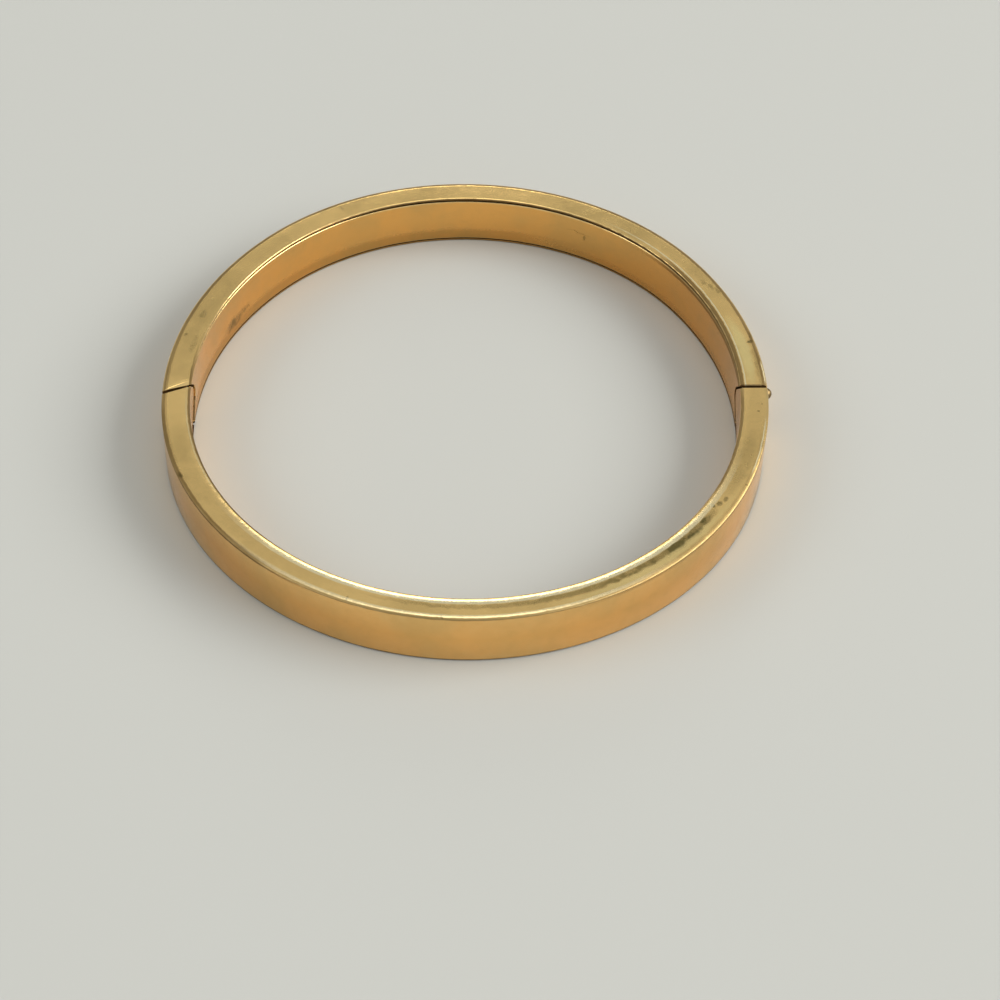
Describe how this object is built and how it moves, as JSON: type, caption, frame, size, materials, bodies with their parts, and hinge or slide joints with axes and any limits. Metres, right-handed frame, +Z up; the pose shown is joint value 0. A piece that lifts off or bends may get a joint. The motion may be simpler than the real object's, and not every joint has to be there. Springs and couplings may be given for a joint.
{
  "type": "hinged bangle",
  "caption": "Plain hollow rectangular-band bangle in two halves, with a flush knuckle hinge, inner wall tabs and a sprung tongue clasp.",
  "frame": {"origin": "middle of the box round the part, on the surface that the bangle lies on", "axes": "+Z up, across the band's width; +X from the hinge to the clasp; +Y from the front half to the back half"},
  "size_m": [0.064, 0.0662, 0.0061],
  "materials": {
    "worn_gold": "polished gold layer, softened by wear",
    "plain_brass": "drawn, unpolished",
    "dark_gold": "polished, tarnished round the neck"
  },
  "bodies": {
    "back_half": {"back_half": "worn_gold"},
    "front_half": {"front_half": "worn_gold", "hinge_pin": "plain_brass", "clasp_tongue": "plain_brass"},
    "thumb_piece": {"thumb_piece": "dark_gold"}
  },
  "joints": [
    {"name": "hinge_swing", "type": "hinge", "parent": "back_half", "child": "front_half", "pos_m": [-0.03131, -0.00211, 0.00305], "axis": [0, 0, -1], "range_deg": [0, 50]},
    {"name": "thumb_press", "type": "hinge", "parent": "front_half", "child": "thumb_piece", "pos_m": [0.02907, 0.00588, 0.00305], "axis": [0, 0, -1], "range_deg": [0, 4], "stiffness_Nm_per_rad": 0.02}
  ]
}
